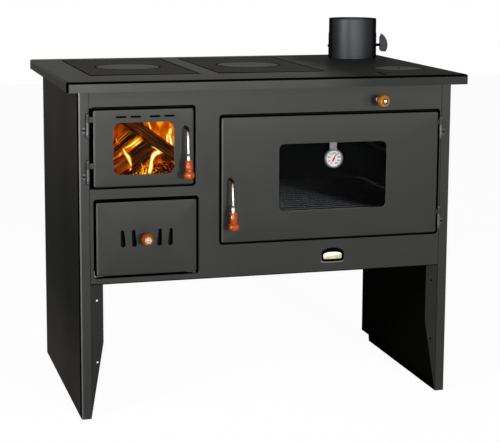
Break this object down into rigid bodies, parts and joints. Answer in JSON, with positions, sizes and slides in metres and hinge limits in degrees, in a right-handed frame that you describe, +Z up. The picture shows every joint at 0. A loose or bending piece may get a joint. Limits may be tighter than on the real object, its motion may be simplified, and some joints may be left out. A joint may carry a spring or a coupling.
{
  "type": "wood cookstove",
  "caption": "Freestanding wood-burning cooker in dark sheet steel: glazed fire door and ash drawer at the left, oven with a thermometer at the right, flat hob with lids and a rear flue collar.",
  "frame": {"origin": "on the floor under the middle of the outline", "axes": "+Z up, -Y towards the doors, +X to the oven's side, at the right as seen from the front"},
  "size_m": [1.002, 0.695, 0.93],
  "materials": {
    "body_paint": "satin",
    "hob_steel": "satin",
    "plate_steel": "satin",
    "lid_steel": "satin",
    "sheet_steel": "satin",
    "bright_steel": "polished",
    "cast_iron": "matte",
    "firebrick": "matte",
    "rope": "matte",
    "wood": "glossy",
    "glass": "clear",
    "dial_white": "satin",
    "pointer_red": "satin",
    "badge": "satin",
    "hinge_steel": "satin"
  },
  "bodies": {
    "stove": {"side_panel_left": "body_paint", "side_panel_right": "body_paint", "front_panel": "body_paint", "back_panel": "sheet_steel", "bottom_panel": "sheet_steel", "hob_top": "hob_steel", "soot_cover": "plate_steel", "flue_collar": "body_paint", "firebox_shell": "sheet_steel", "firebricks": "firebrick", "grate": "cast_iron", "ash_housing": "sheet_steel", "drawer_runners": "sheet_steel", "oven_box": "sheet_steel", "rack_runners": "sheet_steel", "oven_rack": "bright_steel", "smoke_baffle": "sheet_steel", "bypass_guide": "sheet_steel", "name_plate": "badge", "hinge_brackets": "hinge_steel", "hinge_pins": "hinge_steel", "pan_head_screws": "hinge_steel"},
    "fire_door": {"fire_door_skin": "body_paint", "fire_door_liner": "sheet_steel", "fire_door_glass": "glass", "fire_glass_clips": "sheet_steel", "fire_door_seal": "rope", "fire_hinge_ears": "hinge_steel"},
    "fire_handle": {"fire_handle_rod": "bright_steel", "fire_handle_ferrule": "bright_steel", "fire_handle_grip": "wood", "fire_latch_cam": "sheet_steel"},
    "oven_door": {"oven_door_skin": "body_paint", "oven_door_liner": "sheet_steel", "oven_door_glass": "glass", "oven_glass_gasket": "rope", "oven_glass_clips": "sheet_steel", "oven_door_seal": "rope", "oven_hinge_ears": "hinge_steel", "thermometer_case": "bright_steel", "thermometer_dial": "dial_white", "thermometer_glass": "glass"},
    "oven_handle": {"oven_handle_rod": "bright_steel", "oven_handle_ferrule": "bright_steel", "oven_handle_grip": "wood", "oven_latch_cam": "sheet_steel"},
    "thermometer_needle": {"thermometer_pointer": "pointer_red"},
    "ash_drawer": {"ash_drawer_front": "body_paint", "ash_pan": "sheet_steel", "ash_knob": "wood", "ash_knob_cap": "bright_steel"},
    "bypass_pull": {"bypass_knob": "wood", "bypass_knob_cap": "bright_steel", "bypass_rod": "bright_steel", "bypass_plate": "sheet_steel"},
    "damper": {"flue_damper": "body_paint"},
    "left_plate": {"hob_plate_left": "plate_steel"},
    "right_plate": {"hob_plate_right": "plate_steel"},
    "left_lid": {"hob_lid_left": "lid_steel"},
    "right_lid": {"hob_lid_right": "lid_steel"}
  },
  "joints": [
    {"name": "fire_door_hinge", "type": "hinge", "parent": "stove", "child": "fire_door", "pos_m": [-0.4495, -0.3035, 0.66], "axis": [0, 0, -1], "range_deg": [0, 110]},
    {"name": "oven_door_hinge", "type": "hinge", "parent": "stove", "child": "oven_door", "pos_m": [0.4415, -0.3035, 0.571], "axis": [0, 0, 1], "range_deg": [0, 110]},
    {"name": "fire_handle_turn", "type": "hinge", "parent": "fire_door", "child": "fire_handle", "pos_m": [-0.213, -0.2965, 0.704], "axis": [0, 1, 0], "range_deg": [0, 90]},
    {"name": "oven_handle_turn", "type": "hinge", "parent": "oven_door", "child": "oven_handle", "pos_m": [-0.1025, -0.2965, 0.5735], "axis": [0, -1, 0], "range_deg": [0, 90]},
    {"name": "thermometer_needle_turn", "type": "hinge", "parent": "oven_door", "child": "thermometer_needle", "pos_m": [0.16, -0.2965, 0.616], "axis": [0, 1, 0], "range_deg": [-163, 107]},
    {"name": "ash_drawer_slide", "type": "slide", "parent": "stove", "child": "ash_drawer", "axis": [0, -1, 0], "range_m": [0, 0.35]},
    {"name": "bypass_slide", "type": "slide", "parent": "stove", "child": "bypass_pull", "axis": [0, -1, 0], "range_m": [0, 0.08]},
    {"name": "damper_turn", "type": "hinge", "parent": "stove", "child": "damper", "pos_m": [0.396, 0.2355, 0.854], "axis": [1, 0, 0], "range_deg": [0, 90]},
    {"name": "left_plate_lift", "type": "slide", "parent": "stove", "child": "left_plate", "axis": [0, 0, 1], "range_m": [0, 0.12]},
    {"name": "left_lid_lift", "type": "slide", "parent": "left_plate", "child": "left_lid", "axis": [0, 0, 1], "range_m": [0, 0.06]},
    {"name": "right_plate_lift", "type": "slide", "parent": "stove", "child": "right_plate", "axis": [0, 0, 1], "range_m": [0, 0.12]},
    {"name": "right_lid_lift", "type": "slide", "parent": "right_plate", "child": "right_lid", "axis": [0, 0, 1], "range_m": [0, 0.06]}
  ]
}
